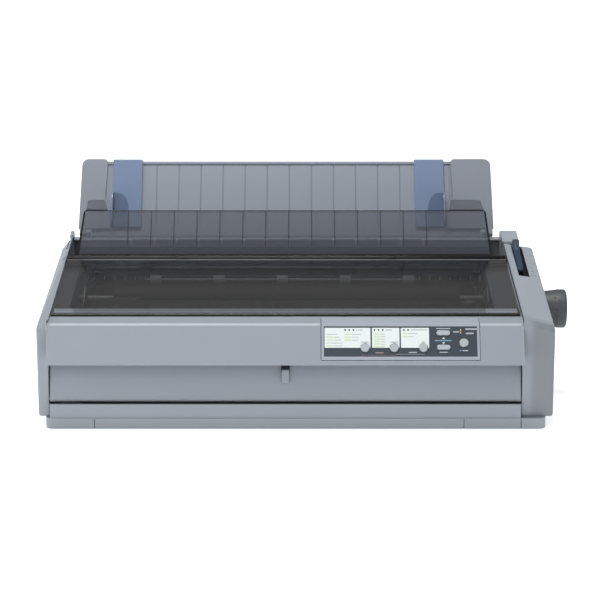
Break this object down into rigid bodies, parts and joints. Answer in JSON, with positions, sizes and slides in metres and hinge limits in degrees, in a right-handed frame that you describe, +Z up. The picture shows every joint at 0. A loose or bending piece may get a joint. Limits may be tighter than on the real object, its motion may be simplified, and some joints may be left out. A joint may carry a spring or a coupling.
{
  "type": "dot matrix printer",
  "caption": "Wide-carriage dot matrix printer with tinted hinged cover, sloping keypad fascia, front paper door, platen knob, pull-up paper support and sliding edge guides.",
  "frame": {"origin": "middle of the footprint's bounding box, on the surface that the rubber feet stand on", "axes": "+X to the printer's right seen from the front, +Y to its rear, +Z up"},
  "size_m": [0.639, 0.401, 0.2549],
  "materials": {
    "case_plastic": "matte, fine grain",
    "support_plastic": "matte",
    "rubber": "matte",
    "steel": "plated",
    "smoke_tint": "smoky, see-through",
    "black_plastic": "satin",
    "dark_plastic": "satin",
    "guide_blue": "milky, lightly see-through",
    "lever_blue": "satin",
    "button_plastic": "satin",
    "gear_plastic": "satin",
    "circuit_board": "satin"
  },
  "bodies": {
    "base": {"lower_case": "case_plastic", "upper_case": "case_plastic", "rubber_feet": "rubber", "case_screws": "steel", "hinge_rod": "steel", "control_panel": "case_plastic", "panel_overlay": "dark_plastic", "control_board": "circuit_board", "chassis": "steel", "left_side_frame": "steel", "right_side_frame": "steel", "platen_bushes": "dark_plastic", "paper_feed_motor": "dark_plastic", "carriage_shaft": "steel", "carriage_rail": "steel", "ribbon_cartridge": "black_plastic", "ribbon": "black_plastic", "carriage_motor": "dark_plastic", "drive_belt": "black_plastic", "belt_idler": "steel", "tear_off_bar": "dark_plastic", "tractor_shafts": "steel", "main_board": "circuit_board", "power_supply": "steel", "power_inlet": "black_plastic", "switch_housing": "black_plastic", "interface_sockets": "dark_plastic"},
    "front_door": {"front_cover": "case_plastic"},
    "front_latch": {"front_cover_latch": "case_plastic"},
    "cover": {"printer_cover": "smoke_tint", "cover_hinge_strip": "black_plastic"},
    "rear_cover_body": {"rear_cover": "smoke_tint", "rear_cover_knuckles": "black_plastic"},
    "support": {"paper_support": "support_plastic"},
    "left_guide": {"left_edge_guide": "guide_blue"},
    "right_guide": {"right_edge_guide": "guide_blue"},
    "font_key": {"font_button": "button_plastic"},
    "pitch_key": {"pitch_button": "button_plastic"},
    "tear_off_key": {"tear_off_button": "button_plastic"},
    "upper_adjust_key": {"upper_adjust_button": "button_plastic"},
    "lower_adjust_key": {"lower_adjust_button": "button_plastic"},
    "pause_key": {"pause_button": "button_plastic"},
    "platen_roller": {"platen": "rubber", "platen_shaft": "steel", "platen_gear": "gear_plastic"},
    "knob": {"platen_knob": "dark_plastic", "knob_shaft": "steel"},
    "idler": {"idler_gear": "gear_plastic"},
    "pinion": {"motor_pinion": "steel"},
    "carriage": {"print_carriage": "black_plastic", "print_head": "dark_plastic"},
    "ribbon_winder": {"ribbon_knob": "dark_plastic"},
    "bail": {"paper_bail": "steel"},
    "bail_wheels": {"bail_rollers": "dark_plastic"},
    "lever": {"release_lever": "lever_blue"},
    "tractor_left": {"left_tractor": "dark_plastic"},
    "tractor_right": {"right_tractor": "dark_plastic"},
    "flap_left": {"left_tractor_flap": "black_plastic"},
    "flap_right": {"right_tractor_flap": "black_plastic"},
    "rocker": {"power_switch": "dark_plastic"}
  },
  "joints": [
    {"name": "front_cover_hinge", "type": "hinge", "parent": "base", "child": "front_door", "pos_m": [-0.02675, -0.17128, 0.0357], "axis": [1, 0, 0], "range_deg": [0, 90]},
    {"name": "front_latch_pivot", "type": "hinge", "parent": "front_door", "child": "front_latch", "pos_m": [-0.02675, -0.16248, 0.07259], "axis": [-1, 0, 0], "range_deg": [0, 12], "stiffness_Nm_per_rad": 0.02},
    {"name": "printer_cover_hinge", "type": "hinge", "parent": "base", "child": "cover", "pos_m": [-0.02675, 0.03752, 0.15484], "axis": [-1, 0, 0], "range_deg": [0, 65]},
    {"name": "rear_cover_hinge", "type": "hinge", "parent": "base", "child": "rear_cover_body", "pos_m": [-0.02675, 0.03752, 0.15484], "axis": [1, 0, 0], "range_deg": [-20, 45]},
    {"name": "support_hinge", "type": "hinge", "parent": "base", "child": "support", "pos_m": [-0.02675, 0.13852, 0.16569], "axis": [-1, 0, 0], "range_deg": [0, 45]},
    {"name": "left_guide_slide", "type": "slide", "parent": "support", "child": "left_guide", "axis": [1, 0, 0], "range_m": [0, 0.06]},
    {"name": "right_guide_slide", "type": "slide", "parent": "support", "child": "right_guide", "axis": [1, 0, 0], "range_m": [-0.25, 0]},
    {"name": "font_press", "type": "slide", "parent": "base", "child": "font_key", "axis": [0, 0.8386, -0.5448], "range_m": [0, 0.0012], "stiffness_N_per_m": 300},
    {"name": "pitch_press", "type": "slide", "parent": "base", "child": "pitch_key", "axis": [0, 0.8386, -0.5448], "range_m": [0, 0.0012], "stiffness_N_per_m": 300},
    {"name": "tear_off_press", "type": "slide", "parent": "base", "child": "tear_off_key", "axis": [0, 0.8386, -0.5448], "range_m": [0, 0.0012], "stiffness_N_per_m": 300},
    {"name": "upper_adjust_press", "type": "slide", "parent": "base", "child": "upper_adjust_key", "axis": [0, 0.8386, -0.5448], "range_m": [0, 0.0012], "stiffness_N_per_m": 300},
    {"name": "lower_adjust_press", "type": "slide", "parent": "base", "child": "lower_adjust_key", "axis": [0, 0.8386, -0.5448], "range_m": [0, 0.0012], "stiffness_N_per_m": 300},
    {"name": "pause_press", "type": "slide", "parent": "base", "child": "pause_key", "axis": [0, 0.8386, -0.5448], "range_m": [0, 0.0012], "stiffness_N_per_m": 300},
    {"name": "platen_spin", "type": "hinge", "parent": "base", "child": "platen_roller", "pos_m": [-0.02675, -0.01348, 0.116], "axis": [1, 0, 0], "continuous": true},
    {"name": "knob_turn", "type": "hinge", "parent": "base", "child": "knob", "pos_m": [0.2905, -0.03353, 0.1091], "axis": [1, 0, 0], "continuous": true},
    {"name": "idler_spin", "type": "hinge", "parent": "base", "child": "idler", "pos_m": [0.223, 0.0049, 0.09761], "axis": [1, 0, 0], "continuous": true},
    {"name": "pinion_spin", "type": "hinge", "parent": "base", "child": "pinion", "pos_m": [0.223, 0.01763, 0.08489], "axis": [1, 0, 0], "continuous": true},
    {"name": "carriage_slide", "type": "slide", "parent": "base", "child": "carriage", "axis": [1, 0, 0], "range_m": [0, 0.4]},
    {"name": "ribbon_wind", "type": "hinge", "parent": "base", "child": "ribbon_winder", "pos_m": [0.1952, -0.09448, 0.128], "axis": [0, 0, 1], "continuous": true},
    {"name": "bail_lift", "type": "hinge", "parent": "base", "child": "bail", "pos_m": [-0.02675, 0.02252, 0.122], "axis": [-1, 0, 0], "range_deg": [0, 4.5]},
    {"name": "bail_roller_spin", "type": "hinge", "parent": "bail", "child": "bail_wheels", "pos_m": [-0.02675, -0.00321, 0.13802], "axis": [1, 0, 0], "continuous": true},
    {"name": "release_lever_pivot", "type": "hinge", "parent": "base", "child": "lever", "pos_m": [0.2675, 0.03752, 0.116], "axis": [1, 0, 0], "range_deg": [0, 20]},
    {"name": "left_tractor_slide", "type": "slide", "parent": "base", "child": "tractor_left", "axis": [1, 0, 0], "range_m": [0, 0.05]},
    {"name": "right_tractor_slide", "type": "slide", "parent": "base", "child": "tractor_right", "axis": [1, 0, 0], "range_m": [-0.12, 0]},
    {"name": "left_flap_hinge", "type": "hinge", "parent": "tractor_left", "child": "flap_left", "pos_m": [-0.21475, 0.08352, 0.1432], "axis": [0, -1, 0], "range_deg": [0, 85]},
    {"name": "right_flap_hinge", "type": "hinge", "parent": "tractor_right", "child": "flap_right", "pos_m": [0.13625, 0.08352, 0.1432], "axis": [0, 1, 0], "range_deg": [0, 85]},
    {"name": "power_rocker", "type": "hinge", "parent": "base", "child": "rocker", "pos_m": [-0.3145, -0.12148, 0.062], "axis": [0, 0, 1], "range_deg": [0, 10]}
  ],
  "couplings": [
    {"joint": "knob_turn", "follows": "platen_spin", "ratio": -1.9444},
    {"joint": "idler_spin", "follows": "platen_spin", "ratio": -1.1667},
    {"joint": "pinion_spin", "follows": "platen_spin", "ratio": 2.3333}
  ]
}
